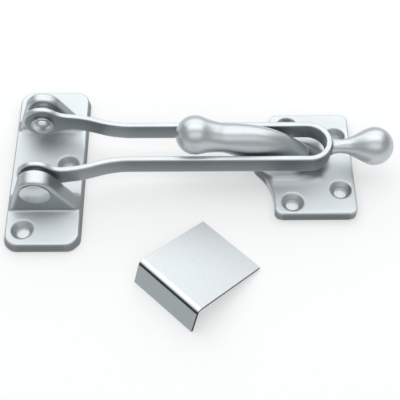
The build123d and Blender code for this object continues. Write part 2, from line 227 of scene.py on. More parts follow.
class FinishSettings(bpy.types.PropertyGroup):
    casting: colour("Casting", "Reflected colour of the chromed castings", "#C9CED0")
    casting_haze: colour("Casting haze", "Colour of the wiped, cloudier patches of the castings", "#BEC4C6")
    # Rubbed edges are smoother, and are painted in this paler colour as a painted highlight
    casting_rubbed_edge_highlight: colour("Casting edge", "Colour of the rubbed edges of the castings", "#DADFE1")
    # Sides and rims are painted in this dark colour as painted shade
    casting_painted_shade: colour("Casting side", "Colour of the castings where they are left dull", "#565C5F")
    # Linished tops are rougher, and are painted in this paler colour as painted light
    casting_linished_painted_light: colour("Casting linished", "Colour of the linished tops of the plates", "#D9DEE0")
    cloud: length("Cloud size", "Size of the cloudy patches that wiping leaves on the castings", 14.0)
    peel: length("Orange peel", "Width of the waves that the plating flows into", 1.8)
    grit: length("Grit", "Width of the satin's polishing grain", 0.4)
    turned: colour("Turned", "Reflected colour of the turned pins, spacers and washers", "#D2D6D8")
    turned_groove: colour("Tool ring", "Colour in the tool rings of the turned pieces", "#C2C7CA")
    ring_pitch: length("Ring pitch", "Distance between the tool rings of the turned pieces", 0.45)
    sheet: colour("Sheet", "Reflected colour of the chromed sheet", "#EBEFF0")
    sheet_mark: colour("Rolling mark", "Colour of the rolling marks in the sheet", "#E6EAEC")
    sheet_bend: colour("Sheet bend", "Colour of the sheet's bend, which is rubbed bright", "#E9EDEE")
    # The flange and the inner side are painted in this darker colour as painted shade
    sheet_flange_painted_shade: colour("Sheet flange", "Colour of the sheet's flange and inner side", "#C0C6C8")
    # The cut ends and a line under the bend are painted in this dark colour as painted shade
    sheet_cut_painted_shade: colour("Sheet cut", "Colour of the bare cut ends and of the die's line", "#4A5052")
    mark_length: length("Mark length", "Length of the rolling marks", 22.0)
    mark_width: length("Mark width", "Width of the rolling marks", 0.5)


class StageSettings(bpy.types.PropertyGroup):
    floor: colour("Floor", "Colour of the floor", "#F6F7F7")
    floor_half: length("Floor half size", "Distance from the origin to each edge of the floor", 6000.0)
    floor_rough: share("Floor roughness", "Roughness of the floor", 0.9)
    floor_shine: share("Floor shine", "Strength of the floor's reflections", 0.1)
    near: length("Near", "Distance on the floor where its plain white starts to take over", 250.0)
    far: length("Far", "Distance on the floor where its plain white is full", 800.0)
    lift: share("Lift", "Share of plain white in the near floor", 0.42)
    sky: colour("Sky", "Colour of the room's faint light", "#F4F6F7")
    sky_level: FloatProperty(name="Sky level", description="Brightness of the room", default=0.46, min=0)
    elevation: angle("Elevation", "Height of the camera's view over the floor", 55.482)
    azimuth: angle("Azimuth", "Turn of the camera about the upright axis", -0.552)
    roll: angle("Roll", "Turn of the camera about its own line of sight", 0.124)
    distance: length("Distance", "Distance from the camera to the point it looks at", 352.94)
    lens: FloatProperty(name="Lens", description="Focal length in millimetres", default=83.954, min=10)


def add_node(tree, kind, inputs=None, **settings):
    """Add one node, with its settings and, for each input by name or number, a socket or a value."""
    node = tree.nodes.new(kind)
    for key, value in settings.items():
        setattr(node, key, value)
    for key, value in (inputs or {}).items():
        if isinstance(value, bpy.types.NodeSocket):
            tree.links.new(value, node.inputs[key])
        else:
            node.inputs[key].default_value = value
    return node


def new_tree(name, sockets):
    """A Geometry Nodes tree with named inputs and one geometry output, and its two end nodes."""
    tree = bpy.data.node_groups.new(name, "GeometryNodeTree")
    for socket_name, kind in sockets:
        tree.interface.new_socket(socket_name, in_out="INPUT", socket_type=f"NodeSocket{kind}")
    tree.interface.new_socket("Geometry", in_out="OUTPUT", socket_type="NodeSocketGeometry")
    return tree, add_node(tree, "NodeGroupInput").outputs, add_node(tree, "NodeGroupOutput")


def end_tree(tree, given, out, shape):
    """End a tree: its copies become one mesh, which takes the given material."""
    real = add_node(tree, "GeometryNodeRealizeInstances", {"Geometry": shape})
    done = add_node(
        tree, "GeometryNodeSetMaterial", {"Geometry": real.outputs[0], "Material": given["Material"]}
    )
    tree.links.new(done.outputs[0], out.inputs[0])
    return tree


def host(name, data):
    """An object in the scene that carries this data, such as a mesh, a curve or a lamp."""
    obj = bpy.data.objects.new(name, data)
    bpy.context.scene.collection.objects.link(obj)
    return obj


def baked(obj):
    """The object's evaluated shape as a plain mesh; the object itself is removed."""
    graph = bpy.context.evaluated_depsgraph_get()
    graph.update()
    mesh = bpy.data.meshes.new_from_object(obj.evaluated_get(graph))
    bpy.data.objects.remove(obj)
    return mesh


def grown(tree, values):
    """The plain mesh that a Geometry Nodes tree makes from these named input values."""
    obj = host("seed", bpy.data.meshes.new("seed"))
    modifier = obj.modifiers.new("shape", "NODES")
    modifier.node_group = tree
    sockets = {item.name: item.identifier for item in tree.interface.items_tree if item.in_out == "INPUT"}
    for name, value in values.items():
        modifier[sockets[name]] = value
    return baked(obj)


def line_object(points):
    """A curve object of one open run of straight pieces, as the input of a tree."""
    data = bpy.data.curves.new("line", "CURVE")
    data.dimensions = "3D"
    spline = data.splines.new("POLY")
    spline.points.add(len(points) - 1)
    for point, place in zip(spline.points, points):
        point.co = (*place, 1)
    return host("line", data)


def mesh_from(shape, name):
    """A mesh from a working shape, with its faces turned outwards; the shape is freed."""
    bmesh.ops.recalc_face_normals(shape, faces=shape.faces)
    mesh = bpy.data.meshes.new(name)
    shape.to_mesh(mesh)
    shape.free()
    return mesh


def arc(centre, radii, start, end, steps):
    """Points of an elliptical arc between two angles in degrees."""
    angles = [math.radians(start + (end - start) * i / steps) for i in range(steps + 1)]
    return [(centre[0] + radii[0] * math.cos(a), centre[1] + radii[1] * math.sin(a)) for a in angles]


def ramp(values, start, end):
    """Each value as a share, from 0 at the start or before it to 1 at the end or past it."""
    return np.clip((values - start) / (end - start), 0, 1)


def piece(name, mesh, material, body, slot, *nodes):
    """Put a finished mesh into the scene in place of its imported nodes."""
    mesh.name = name
    mesh.materials.clear()
    mesh.materials.append(material)
    mesh.polygons.foreach_set("use_smooth", [True] * len(mesh.polygons))
    mesh.update()
    obj = host(name, mesh)
    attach(obj, body)
    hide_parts(*nodes)


def copy_of(node):
    """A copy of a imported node's mesh with its loose triangles joined."""
    mesh = frame["nodes"][node].data.copy()
    shape = bmesh.new()
    shape.from_mesh(mesh)
    bmesh.ops.remove_doubles(shape, verts=shape.verts, dist=PACKED_WELD)
    shape.to_mesh(mesh)
    shape.free()
    return mesh


class Skin:
    """A closed skin of small squares round a mesh, whose points can be smoothed."""

    # Share of the way to its neighbours' mean that a point or a mark goes in one round
    STEP = 0.5
    # How sharply the skin turns where a hollow starts, and where a rubbed edge takes its full painted
    # highlight
    HOLLOW_TURN, EDGE_TURN = 0.1, -1 / 6
    # How far a face looks up where it starts to count as a level top or a steep side, and where it fully does
    TOP_UP, SIDE_UP = (0.9, 0.98), (0.74, 0.62)
    # Softening rounds of each mark
    EDGE_ROUNDS, LINISH_ROUNDS, DULL_ROUNDS = 2, 3, 2

    def __init__(self, mesh, grain):
        # The remesh works in millimetres, because its squares can't be as small as these in metres
        scaled = mesh.copy()
        scaled.transform(Matrix.Scale(1 / MM, 4))
        obj = host("skin", scaled)
        remesh = obj.modifiers.new("skin", "REMESH")
        remesh.mode = "VOXEL"
        remesh.voxel_size = grain / MM
        self.mesh = baked(obj)
        self.mesh.transform(Matrix.Scale(MM, 4))
        self.grain = grain
        total = len(self.mesh.vertices)
        edges = np.empty(len(self.mesh.edges) * 2, np.int64)
        self.mesh.edges.foreach_get("vertices", edges)
        self.start, self.end = edges.reshape(-1, 2).T
        self.joins = np.bincount(self.start, minlength=total) + np.bincount(self.end, minlength=total)
        points = np.empty(total * 3)
        self.mesh.vertices.foreach_get("co", points)
        self.points = points.reshape(-1, 3)

    def around(self, values):
        """The mean of each point's neighbours."""
        total = len(self.points)
        sums = [
            np.bincount(self.start, column[self.end], total)
            + np.bincount(self.end, column[self.start], total)
            for column in np.atleast_2d(values.T)
        ]
        mean = np.array(sums) / self.joins
        return mean.T if values.ndim > 1 else mean[0]

    def smooth(self, weight, rounds):
        """Draw each point towards its neighbours, by its weight."""
        for _ in range(rounds):
            self.points += self.STEP * weight * (self.around(self.points) - self.points)

    def normals(self):
        """The outward direction at each point, after the points are put back into the mesh."""
        self.mesh.vertices.foreach_set("co", self.points.ravel())
        self.mesh.update()
        normals = np.empty(len(self.points) * 3)
        self.mesh.vertex_normals.foreach_get("vector", normals)
        return normals.reshape(-1, 3)

    def turn(self):
        """How sharply the skin turns at each point: above 0 in a hollow, below 0 on an edge."""
        pull = self.around(self.points) - self.points
        return (pull * self.normals()).sum(1) / self.grain

    def hollows(self, reach):
        """A weight that falls from 1 in the hollow corners to 0 at a distance along the skin."""
        rings = max(1, round(reach / self.grain))
        weight = (self.turn() > self.HOLLOW_TURN).astype(float)
        for _ in range(rings):
            spread = weight - 1 / rings
            wider = weight.copy()
            np.maximum.at(wider, self.start, spread[self.end])
            np.maximum.at(wider, self.end, spread[self.start])
            weight = wider
        return (weight * weight * (3 - 2 * weight))[:, None]

    def faces(self):
        """How far each point lies on a level top, and how far on a steep side, from 0 to 1."""
        up = self.normals()[:, 2]
        return ramp(up, *self.TOP_UP), ramp(up, *self.SIDE_UP)

    def rim(self, height, band):
        """Where the skin below a height lies in a narrow band along its outline."""
        below = self.points[:, 2] < height
        low, high = self.points[below].min(0), self.points[below].max(0)
        inset = np.minimum(self.points - low, high - self.points)[:, :2].min(1)
        return below & (inset < band)

    def mark(self, name, values, rounds):
        """Keep a value from 0 to 1 of each point, softened, as an attribute for the material."""
        for _ in range(rounds):
            values = values + self.STEP * (self.around(values) - values)
        attribute = self.mesh.attributes.new(name, "FLOAT", "POINT")
        attribute.data.foreach_set("value", values.astype(np.float32))

    def finish(self, linished_painted_light, painted_shade):
        """The finished mesh, with painted highlight on rubbed edges, painted light where linished, and painted
        shade.
        """
        self.mark("edge", ramp(self.turn(), 0, self.EDGE_TURN), self.EDGE_ROUNDS)
        self.mark("linished_painted_light", linished_painted_light, self.LINISH_ROUNDS)
        self.mark("painted_shade", painted_shade, self.DULL_ROUNDS)
        return self.mesh


def new_material(name):
    """A new material, its node tree and the socket that tells each point's place."""
    material = bpy.data.materials.new(name)
    material.use_nodes = True
    tree = material.node_tree
    return material, tree, add_node(tree, "ShaderNodeTexCoord").outputs["Object"]


def set_metal(tree, pattern, spread, tones, roughness, marks, relief):
    """Make a material a metal whose tone and roughness run between two of each over a pattern's spread.

    Each mark is an attribute with its own tone and the roughness that it adds. The relief is a socket of
    heights and the depth of a height of 1.
    """
    tone = add_node(
        tree, "ShaderNodeMix", {0: pattern, 6: (*tones[0], 1), 7: (*tones[1], 1)}, data_type="RGBA"
    ).outputs[2]
    ends = dict(zip(("From Min", "From Max", "To Min", "To Max"), (*spread, *roughness)))
    rough = add_node(tree, "ShaderNodeMapRange", {"Value": pattern, **ends}).outputs["Result"]
    for name, (own, added) in marks.items():
        mark = add_node(tree, "ShaderNodeAttribute", attribute_name=name).outputs["Fac"]
        tone = add_node(
            tree, "ShaderNodeMix", {0: mark, 6: tone, 7: (*own, 1)}, data_type="RGBA"
        ).outputs[2]
        rough = add_node(
            tree, "ShaderNodeMath", {0: mark, 1: added, 2: rough}, operation="MULTIPLY_ADD"
        ).outputs[0]
    height, depth = relief
    bump = add_node(tree, "ShaderNodeBump", {"Height": height, "Distance": depth}).outputs["Normal"]
    inputs = tree.nodes["Principled BSDF"].inputs
    inputs["Metallic"].default_value = 1
    for name, socket in (("Base Color", tone), ("Roughness", rough), ("Normal", bump)):
        tree.links.new(socket, inputs[name])


def satin_chrome():
    """Satin chrome on a polished brass casting, for the bracket, the bar and the keeper."""
    # The eye sees a cool, pale silver in which lamps show as wide soft glows, never as sharp pictures.
    # Wiping leaves it a little cloudy, and the plating flows into a faint orange peel. Level tops are
    # linished rougher and painted paler as painted light, steep sides and rims are painted dark as painted
    # shade, and rubbed edges are smoother and painted paler as a painted highlight.
    name = "satin_chromed_brass_casting"
    if name in bpy.data.materials:
        return bpy.data.materials[name]
    finish = bpy.context.scene.door_guard_finish
    material, tree, place = new_material(name)
    cloud = add_node(tree, "ShaderNodeTexNoise", {"Vector": place, "Scale": 1 / finish.cloud, "Detail": 3})
    peel = add_node(tree, "ShaderNodeTexNoise", {"Vector": place, "Scale": 1 / finish.peel, "Detail": 1})
    # Real polishing grit is a few hundredths of a millimetre wide; it is drawn coarser so that it shows
    grit = add_node(tree, "ShaderNodeTexNoise", {"Vector": place, "Scale": 1 / finish.grit, "Detail": 2})
    heights = add_node(
        tree,
        "ShaderNodeMath",
        {0: grit.outputs["Fac"], 1: GRIT_SHARE, 2: peel.outputs["Fac"]},
        operation="MULTIPLY_ADD",
    )
    # Painted shade on sides and rims, painted light on linished tops and a painted highlight on rubbed edges
    marks = {
        "painted_shade": (finish.casting_painted_shade, 0),
        "linished_painted_light": (finish.casting_linished_painted_light, LINISH_ROUGH),
        "edge": (finish.casting_rubbed_edge_highlight, EDGE_ROUGH),
    }
    tones = finish.casting_haze, finish.casting
    relief = heights.outputs[0], PEEL_DEPTH
    set_metal(tree, cloud.outputs["Fac"], NOISE_SPREAD, tones, CASTING_ROUGH, marks, relief)
    return material


def turned_chrome():
    """Bright chrome on turned brass, for the rivets, spacers and washers of the hinge."""
    # The eye sees a smoother, brighter silver than the castings, with fine tool rings round the hinge axis
    # that break a lamp's glow into short arcs.
    finish = bpy.context.scene.door_guard_finish
    material, tree, place = new_material("chromed_turned_brass")
    centred = add_node(tree, "ShaderNodeMapping", {"Vector": place, "Location": -HINGE})
    # Real tool rings are about a tenth of a millimetre apart; they are drawn coarser so that they show
    rings = add_node(
        tree,
        "ShaderNodeTexWave",
        {
            "Vector": centred.outputs[0],
            "Scale": math.tau / WAVE_RADIANS / finish.ring_pitch,
            "Distortion": RING_WAVER,
        },
        wave_type="RINGS",
        rings_direction="Y",
    ).outputs["Fac"]
    tones = finish.turned_groove, finish.turned
    set_metal(tree, rings, WAVE_SPREAD, tones, TURNED_ROUGH, {}, (rings, RING_DEPTH))
    return material


def rolled_chrome():
    """Chrome on rolled sheet, for the edge protector."""
    # The eye sees one even, pale silver that runs without patches over the whole face, with faint straight
    # rolling marks along the sheet. The bend is rubbed bright, and the flange and the inner side are painted
    # darker as painted shade. The cut ends, and a line under the bend, are painted dark as painted shade.
    finish = bpy.context.scene.door_guard_finish
    sizes = bpy.context.scene.door_guard_sheet
    material, tree, place = new_material("chromed_rolled_sheet")
    along = add_node(
        tree,
        "ShaderNodeMapping",
        {
            "Vector": place,
            "Rotation": (0, 0, sizes.roll_angle),
            "Scale": (finish.mark_length, finish.mark_width, finish.mark_width),
        },
        vector_type="TEXTURE",
    ).outputs[0]
    # Real rolling marks are a few hundredths of a millimetre wide; they are drawn coarser so that they show
    lines = add_node(tree, "ShaderNodeTexNoise", {"Vector": along, "Scale": 1, "Detail": 3}).outputs["Fac"]
    marks = {
        "flange": (finish.sheet_flange_painted_shade, 0),
        "bend": (finish.sheet_bend, BEND_ROUGH),
        "cut": (finish.sheet_cut_painted_shade, 0),
    }
    tones = finish.sheet_mark, finish.sheet
    set_metal(tree, lines, NOISE_SPREAD, tones, SHEET_ROUGH, marks, (lines, MARK_DEPTH))
    return material


class DOORGUARD_OT_bracket(bpy.types.Operator):
    """Skin the jamb bracket as one casting with softened edges"""

    bl_idname = "doorguard.bracket"
    bl_label = "Jamb bracket"

    def execute(self, context):
        settings = context.scene.door_guard_casting
        skin = Skin(copy_of("jamb_bracket"), settings.grain)
        skin.smooth(1, settings.edge_rounds)
        tops, sides = skin.faces()
        across, height = skin.points[:, 1], skin.points[:, 2]
        # Shade is painted on the plates' rims and on the lugs' sides
        rim = skin.rim(settings.plate, settings.rim_band) * settings.rim_and_strip_painted_shade
        # The painted shade on the lugs is kept to their outer parts, off their inner faces next to the spacers
        # and eyes
        near_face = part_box("pivot_spacer_near")[0].y - settings.grain
        far_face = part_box("pivot_spacer_far")[1].y + settings.grain
        outer = (across < near_face) | (across > far_face)
        lugs = outer * (height > settings.plate) * settings.lug_side_painted_shade
        mesh = skin.finish(tops * (height < settings.linish_light_height), sides * (rim + lugs))
        piece("bracket_casting", mesh, satin_chrome(), "bracket", "chromed_casting", "jamb_bracket")
        return {"FINISHED"}


def turned_tree():
    """Tree that turns a profile about the hinge axis and sets a copy on one lug or on both."""
    tree, given, out = new_tree(
        "turned_on_hinge",
        (
            ("Profile", "Object"),
            ("Offset", "Float"),
            ("Place", "Vector"),
            ("Copies", "Int"),
            ("First turn", "Float"),
            ("Segments", "Int"),
            ("Material", "Material"),
        ),
    )
    profile = add_node(tree, "GeometryNodeObjectInfo", {"Object": given["Profile"]})
    ring = add_node(
        tree, "GeometryNodeCurvePrimitiveCircle", {"Resolution": given["Segments"], "Radius": given["Offset"]}
    )
    sweep = add_node(
        tree,
        "GeometryNodeCurveToMesh",
        {"Curve": ring.outputs["Curve"], "Profile Curve": profile.outputs["Geometry"]},
    )
    closed = add_node(
        tree, "GeometryNodeMergeByDistance", {"Geometry": sweep.outputs["Mesh"], "Distance": TURNED_WELD}
    )
    along_y = add_node(
        tree,
        "GeometryNodeTransform",
        {"Geometry": closed.outputs["Geometry"], "Rotation": (math.pi / 2, 0, 0)},
    )
    points = add_node(tree, "GeometryNodePoints", {"Count": given["Copies"], "Position": given["Place"]})
    index = add_node(tree, "GeometryNodeInputIndex")
    turn = add_node(
        tree,
        "ShaderNodeMath",
        {0: index.outputs[0], 1: math.pi, 2: given["First turn"]},
        operation="MULTIPLY_ADD",
    )
    facing = add_node(tree, "ShaderNodeCombineXYZ", {"Z": turn.outputs[0]})
    pair = add_node(
        tree,
        "GeometryNodeInstanceOnPoints",
        {"Points": points.outputs[0], "Instance": along_y.outputs["Geometry"], "Rotation": facing.outputs[0]},
    )
    return end_tree(tree, given, out, pair.outputs[0])


def rivet_profile(sizes):
    """Half profile of the far rivet, as radius and Y: domed tail, shank and low domed head."""
    low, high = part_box("pivot_pin_far")
    head = (high.x - low.x) / 2
    lug_outer = high.y - sizes.head_rise - sizes.head_rim
    washer_inner = low.y + sizes.tail_rise
    dome_r = (head**2 + sizes.head_rise**2) / (2 * sizes.head_rise)
    dome = math.degrees(math.asin(head / dome_r))
    profile = arc((0, washer_inner), (sizes.tail, sizes.tail_rise), -90, 0, DOME_STEPS)
    profile += [(sizes.pin, washer_inner), (sizes.pin, lug_outer)]
    profile += [(head - sizes.corner / 2, lug_outer), (head, lug_outer + sizes.corner / 2)]
    return profile + arc((0, high.y - dome_r), (dome_r, dome_r), 90 - dome, 90, DOME_STEPS)


def ring_profile(sizes, node):
    """Half profile of a plain ring on the rivet's shank, as radius and Y, with rounded outer corners."""
    low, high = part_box(node)
    corner = sizes.corner
    outer = (high.x - low.x) / 2 - corner
    start, end = sorted((abs(low.y), abs(high.y)))
    profile = [(sizes.pin, start)]
    profile += arc((outer, start + corner), (corner, corner), -90, 0, CORNER_STEPS)
    profile += arc((outer, end - corner), (corner, corner), 0, 90, CORNER_STEPS)
    return profile + [(sizes.pin, end), (sizes.pin, start)]


class DOORGUARD_OT_pivots(bpy.types.Operator):
    """Turn the rivets, spacers and washers of the hinge and set them at both lugs"""

    bl_idname = "doorguard.pivots"
    bl_label = "Hinge rivets, spacers and washers"

    def execute(self, context):
        sizes = context.scene.door_guard_pivots
        material = turned_chrome()
        tree = turned_tree()
        rivet = rivet_profile(sizes)
        washer = ring_profile(sizes, "pivot_washer_far")
        far = ring_profile(sizes, "pivot_spacer_far")
        near = ring_profile(sizes, "pivot_spacer_near")
        pieces = (
            ("hinge_rivets", rivet, 0, ("pivot_pin_far", "pivot_pin_near")),
            ("hinge_washers", washer, 0, ("pivot_washer_far", "pivot_washer_near")),
            ("hinge_spacer_far", far, 0, ("pivot_spacer_far",)),
            ("hinge_spacer_near", near, math.pi, ("pivot_spacer_near",)),
        )
        for name, profile, first_turn, nodes in pieces:
            line = line_object([(radius - sizes.pin, y, 0) for radius, y in profile])
            mesh = grown(
                tree,
                {
                    "Profile": line,
                    "Offset": sizes.pin,
                    "Place": HINGE,
                    "Copies": len(nodes),
                    "First turn": first_turn,
                    "Segments": sizes.segments,
                    "Material": material,
                },
            )
            bpy.data.objects.remove(line)
            shape = bmesh.new()
            shape.from_mesh(mesh)
            mesh = mesh_from(shape, name)
            piece(name, mesh, material, "bracket", "turned_pivot", *nodes)
            mesh.set_sharp_from_angle(angle=TURNED_SHARP)
        return {"FINISHED"}


def strip_tree():
    """Tree that sweeps a strip on edge along a path, trims it to its side view and bores its eyes."""
    tree, given, out = new_tree(
        "strip_on_edge",
        (
            ("Path", "Object"),
            ("Side view", "Object"),
            ("Thickness", "Float"),
            ("Height", "Float"),
            ("Bore", "Float"),
            ("Bore length", "Float"),
            ("Hinge", "Vector"),
            ("Material", "Material"),
        ),
    )
    path = add_node(tree, "GeometryNodeObjectInfo", {"Object": given["Path"]})
    upright = add_node(tree, "GeometryNodeSetCurveNormal", {"Curve": path.outputs["Geometry"]}, mode="Z_UP")
    section = add_node(
        tree,
        "GeometryNodeCurvePrimitiveQuadrilateral",
        {"Width": given["Thickness"], "Height": given["Height"]},
    )
    sweep = add_node(
        tree,
        "GeometryNodeCurveToMesh",
        {"Curve": upright.outputs[0], "Profile Curve": section.outputs[0], "Fill Caps": True},
    )
    side = add_node(tree, "GeometryNodeObjectInfo", {"Object": given["Side view"]})
    trimmed = add_node(
        tree,
        "GeometryNodeMeshBoolean",
        {"Mesh 2": sweep.outputs[0]},
        operation="INTERSECT",
        solver="EXACT",
    )
    tree.links.new(side.outputs["Geometry"], trimmed.inputs["Mesh 2"])
    drill = add_node(
        tree,
        "GeometryNodeMeshCylinder",
        {"Vertices": BORE_STEPS, "Radius": given["Bore"], "Depth": given["Bore length"]},
    )
    placed = add_node(
        tree,
        "GeometryNodeTransform",
        {"Geometry": drill.outputs[0], "Translation": given["Hinge"], "Rotation": (math.pi / 2, 0, 0)},
    )
    bored = add_node(
        tree,
        "GeometryNodeMeshBoolean",
        {"Mesh 1": trimmed.outputs[0], "Mesh 2": placed.outputs[0]},
        operation="DIFFERENCE",
        solver="EXACT",
    )
    return end_tree(tree, given, out, bored.outputs[0])


def bar_turn(sizes):
    """Where along the bar the straight arms end and the round end of the U starts."""
    return sizes.reach - sizes.thickness - sizes.slot / 2


def bar_path(sizes):
    """The middle line of the strip from one eye round the U to the other, seen from above."""
    half_t = sizes.thickness / 2
    eye_y = sizes.eye_spread / 2 + half_t
    slot_y = sizes.slot / 2 + half_t
    step = (sizes.eye_spread - sizes.slot) / 2
    bend_r = (sizes.bend_length**2 + step**2) / (4 * step)
    swing = math.degrees(math.asin(sizes.bend_length / 2 / bend_r))
    bend_end = sizes.bend_start + sizes.bend_length
    first = (sizes.bend_start, sizes.eye_spread / 2 - bend_r)
    second = (bend_end, sizes.slot / 2 + bend_r)
    # It starts past the eye's rim, to which the side view trims it
    line = [(HINGE.x - 2 * sizes.eye, eye_y)]
    line += arc(first, (bend_r + half_t,) * 2, 90, 90 - swing, BEND_STEPS)
    line += arc(second, (bend_r - half_t,) * 2, 270 - swing, 270, BEND_STEPS)[1:]
    line += arc((bar_turn(sizes), 0), (slot_y, slot_y), 90, 0, BEND_STEPS)
    line += [(x, -y) for x, y in reversed(line[:-1])]
    return [(x, y, HINGE.z) for x, y in line]


def bar_side(sizes):
    """A block with the bar's side view: a round eye that runs through hollow arcs into the strip."""
    half = sizes.height / 2
    end = (sizes.reach - HINGE.x) + sizes.thickness
    above = half + sizes.top_blend
    below = half + sizes.bottom_blend
    top_x = math.sqrt((sizes.eye + sizes.top_blend) ** 2 - above**2)
    bottom_x = math.sqrt((sizes.eye + sizes.bottom_blend) ** 2 - below**2)
    top_touch = math.degrees(math.atan2(above, top_x))
    bottom_touch = math.degrees(math.atan2(below, bottom_x))
    outline = [(end, half)]
    outline += arc((top_x, above), (sizes.top_blend,) * 2, 270, 180 + top_touch, BLEND_STEPS)
    outline += arc((0, 0), (sizes.eye,) * 2, top_touch, 360 - bottom_touch, EYE_STEPS)[1:-1]
    outline += arc((bottom_x, -below), (sizes.bottom_blend,) * 2, 180 - bottom_touch, 90, BLEND_STEPS)
    outline += [(end, -half)]
    depth = 2 * sizes.eye_spread
    shape = bmesh.new()
    face = shape.faces.new([shape.verts.new((HINGE.x + x, -depth, HINGE.z + z)) for x, z in outline])
    swept = bmesh.ops.extrude_face_region(shape, geom=[face], use_keep_orig=True)
    moved = [item for item in swept["geom"] if isinstance(item, bmesh.types.BMVert)]
    bmesh.ops.translate(shape, verts=moved, vec=(0, 2 * depth, 0))
    return mesh_from(shape, "bar_side")


def hermite(p, q, p_slope, q_slope, t):
    """A point of the cubic from p to q with these end slopes."""
    start = p * (1 + 2 * t) * (1 - t) ** 2 + p_slope * t * (1 - t) ** 2
    return start + q * t * t * (3 - 2 * t) - q_slope * t * t * (1 - t)


def knob_root(sizes, turn, neck_x):
    """One line of the knob's root, from the U's closed end to the neck, at a turn about the bar's axis."""
    outer = sizes.slot / 2 + sizes.thickness
    sink = outer - sizes.thickness * ROOT_SINK
    deep = sizes.height / 2
    across, up = (math.copysign(abs(part) ** OBLONG, part) for part in (math.cos(turn), math.sin(turn)))
    round_u = sizes.root_half * across / outer
    root = Vector(
        (sizes.reach - outer + sink * math.cos(round_u), sink * math.sin(round_u), ROOT_RISE * deep * up)
    )
    inwards = Vector(
        (math.sin(round_u) * across, -math.cos(round_u) * across, -up * deep / sizes.root_half)
    ).normalized()
    neck = Vector((neck_x, sizes.neck * math.cos(turn), sizes.neck * math.sin(turn)))
    swell = math.tan(sizes.neck_slope)
    onwards = Vector((1, swell * math.cos(turn), swell * math.sin(turn)))
    run = (neck - root).length
    return [
        hermite(root, neck, inwards * run * ROOT_PULL, onwards * run * NECK_PULL, i / ROOT_STEPS)
        for i in range(ROOT_STEPS + 1)
    ]


def knob_mesh(sizes):
    """The teardrop finger knob with its root, which flares out over the closed end of the U."""
    turns = [math.tau * i / KNOB_TURNS for i in range(KNOB_TURNS)]
    neck_x = sizes.reach + sizes.neck_reach
    middle = sizes.reach + sizes.knob_reach
    rings = list(zip(*[knob_root(sizes, turn, neck_x) for turn in turns]))
    run = middle - neck_x
    slope = math.tan(sizes.neck_slope) * run
    profile = [
        (neck_x + run * i / SWELL_STEPS, hermite(sizes.neck, sizes.knob, slope, 0, i / SWELL_STEPS))
        for i in range(1, SWELL_STEPS)
    ]
    profile += [(x, r) for r, x in arc((0, middle), (sizes.knob, sizes.knob), 0, END_ARC, END_STEPS)]
    rings += [[Vector((x, r * math.cos(a), r * math.sin(a))) for a in turns] for x, r in profile]
    shape = bmesh.new()
    rows = [[shape.verts.new(point) for point in ring] for ring in rings]
    for row, after in zip(rows, rows[1:]):
        for i in range(len(turns)):
            shape.faces.new((row[i - 1], row[i], after[i], after[i - 1]))
    shape.faces.new(rows[0])
    shape.faces.new(rows[-1])
    bmesh.ops.translate(shape, verts=shape.verts, vec=(0, 0, HINGE.z))
    return mesh_from(shape, "knob")


def bar_painted_shade(sizes, skin):
    """How strongly shade is painted on each point of the bar, from 0 to 1."""
    along, across, height = skin.points.T
    # The painted shade on the sides is strongest along their upper edge, and weaker at the eyes
    rise = ramp(height, HINGE.z - sizes.height / 2, HINGE.z + sizes.height / 2)
    away = ramp(along, sizes.bend_start, sizes.bend_start + sizes.bend_length)
    painted_shade_strength = sizes.painted_shade_low + (sizes.painted_shade_high - sizes.painted_shade_low) * rise
    painted_shade_strength *= sizes.painted_shade_hinge + (1 - sizes.painted_shade_hinge) * away
    # The painted shade is taken off the inside of the slot towards its closed end, and off the eyes' outer
    # faces
    turn_x = bar_turn(sizes)
    inside = np.hypot(np.maximum(along - turn_x, 0), across) < (sizes.slot + sizes.thickness) / 2
    slot = inside * ramp(along, turn_x - SHADE_OFF_FROM, turn_x - SHADE_OFF_FULL)
    outside = np.abs(across) > (sizes.eye_spread + sizes.thickness) / 2
    hinge_r = np.hypot(along - HINGE.x, height - HINGE.z)
    eyes = outside * ramp(hinge_r, sizes.eye, sizes.eye - EYE_FADE)
    sides = skin.faces()[1] * (along < sizes.reach)
    return painted_shade_strength * sides * (1 - np.maximum(slot, eyes))


class DOORGUARD_OT_bar(bpy.types.Operator):
    """Bend the strip into the U, with its two eyes and the finger knob"""

    bl_idname = "doorguard.bar"
    bl_label = "Swing bar"

    def execute(self, context):
        sizes = context.scene.door_guard_bar
        material = satin_chrome()
        path = line_object(bar_path(sizes))
        side = host("side", bar_side(sizes))
        # The strip is swept taller than its eyes and bored past both, and the side view trims it
        strip = grown(
            strip_tree(),
            {
                "Path": path,
                "Side view": side,
                "Thickness": sizes.thickness,
                "Height": 3 * sizes.eye,
                "Bore": sizes.bore,
                "Bore length": 2 * sizes.eye_spread,
                "Hinge": HINGE,
                "Material": material,
            },
        )
        bpy.data.objects.remove(path)
        bpy.data.objects.remove(side)
        shape = bmesh.new()
        shape.from_mesh(strip)
        shape.from_mesh(knob_mesh(sizes))
        both = bpy.data.meshes.new("bar")
        shape.to_mesh(both)
        shape.free()
        skin = Skin(both, sizes.grain)
        skin.smooth(1, sizes.edge_rounds)
        skin.smooth(skin.hollows(sizes.hollow_reach), sizes.hollow_rounds)
        mesh = skin.finish(np.zeros(len(skin.points)), bar_painted_shade(sizes, skin))
        piece("swing_bar_with_knob", mesh, material, "bar", "chromed_casting", "swing_bar")
        return {"FINISHED"}


